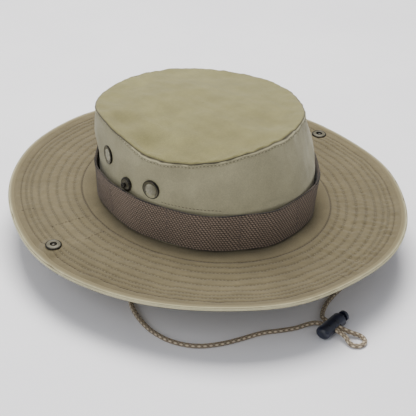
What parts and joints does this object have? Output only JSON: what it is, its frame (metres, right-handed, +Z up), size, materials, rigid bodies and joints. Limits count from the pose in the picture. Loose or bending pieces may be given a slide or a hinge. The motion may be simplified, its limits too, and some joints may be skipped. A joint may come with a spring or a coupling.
{
  "type": "boonie hat",
  "caption": "Soft round cloth hat with a stitched brim whose sides snap up to the crown, webbing foliage band, screen vents and a chin cord with a spring lock.",
  "frame": {"origin": "centre of the head opening, at mid thickness of the brim", "axes": "+Z up through the crown, -Y towards the front, +X towards the left of the person who wears it"},
  "size_m": [0.335, 0.3819, 0.1375],
  "materials": {
    "crown_cloth": "matte twill",
    "brim_cloth": "matte twill with stitch rows",
    "binding": "matte folded tape",
    "interlining": "matte",
    "lining": "matte twill",
    "tape": "matte woven tape",
    "webbing": "matte woven webbing",
    "thread": "matte thread",
    "cord": "braided",
    "lock_plastic": "satin",
    "spring_wire": "satin",
    "vent_metal": "satin",
    "vent_screen": "satin wire",
    "snap_metal": "satin"
  },
  "bodies": {
    "hat": {"back_seam_tape": "tape", "band_bar_tacks": "thread", "brim_back_binding": "binding", "brim_front_binding": "binding", "brim_interlining": "interlining", "brim_top_cloth": "brim_cloth", "brim_under_cloth": "brim_cloth", "chin_cord": "cord", "crown_tip": "crown_cloth", "crown_wall": "crown_cloth", "foliage_band": "webbing", "left_back_vent_screen": "vent_screen", "left_back_vent_shell": "vent_metal", "left_back_vent_washer": "vent_metal", "left_cord_tab": "tape", "left_front_vent_screen": "vent_screen", "left_front_vent_shell": "vent_metal", "left_front_vent_washer": "vent_metal", "left_snap_stud": "snap_metal", "left_stud_cap": "snap_metal", "right_back_vent_screen": "vent_screen", "right_back_vent_shell": "vent_metal", "right_back_vent_washer": "vent_metal", "right_cord_tab": "tape", "right_front_vent_screen": "vent_screen", "right_front_vent_shell": "vent_metal", "right_front_vent_washer": "vent_metal", "right_snap_stud": "snap_metal", "right_stud_cap": "snap_metal", "sweatband": "lining", "tip_seam_tape": "tape"},
    "left_flap": {"left_flap_binding": "binding", "left_flap_interlining": "interlining", "left_flap_top_cloth": "brim_cloth", "left_flap_under_cloth": "brim_cloth", "left_snap_socket": "snap_metal", "left_socket_cap": "snap_metal"},
    "right_flap": {"right_flap_binding": "binding", "right_flap_interlining": "interlining", "right_flap_top_cloth": "brim_cloth", "right_flap_under_cloth": "brim_cloth", "right_snap_socket": "snap_metal", "right_socket_cap": "snap_metal"},
    "cord_lock": {"lock_body": "lock_plastic", "lock_spring": "spring_wire"},
    "lock_button": {"lock_plunger": "lock_plastic"}
  },
  "joints": [
    {"name": "left_brim_fold", "type": "hinge", "parent": "hat", "child": "left_flap", "pos_m": [0.11, 0, 0.0021], "axis": [0, -1, 0], "range_deg": [0, 110]},
    {"name": "right_brim_fold", "type": "hinge", "parent": "hat", "child": "right_flap", "pos_m": [-0.11, 0, 0.0021], "axis": [0, 1, 0], "range_deg": [0, 110]},
    {"name": "cord_lock_slide", "type": "slide", "parent": "hat", "child": "cord_lock", "axis": [0.1736, -0.9848, 0], "range_m": [0, 0.0025]},
    {"name": "lock_button_press", "type": "slide", "parent": "cord_lock", "child": "lock_button", "axis": [-0.9848, -0.1736, 0], "range_m": [0, 0.0035], "stiffness_N_per_m": 400, "deforming": ["lock_spring"]}
  ]
}
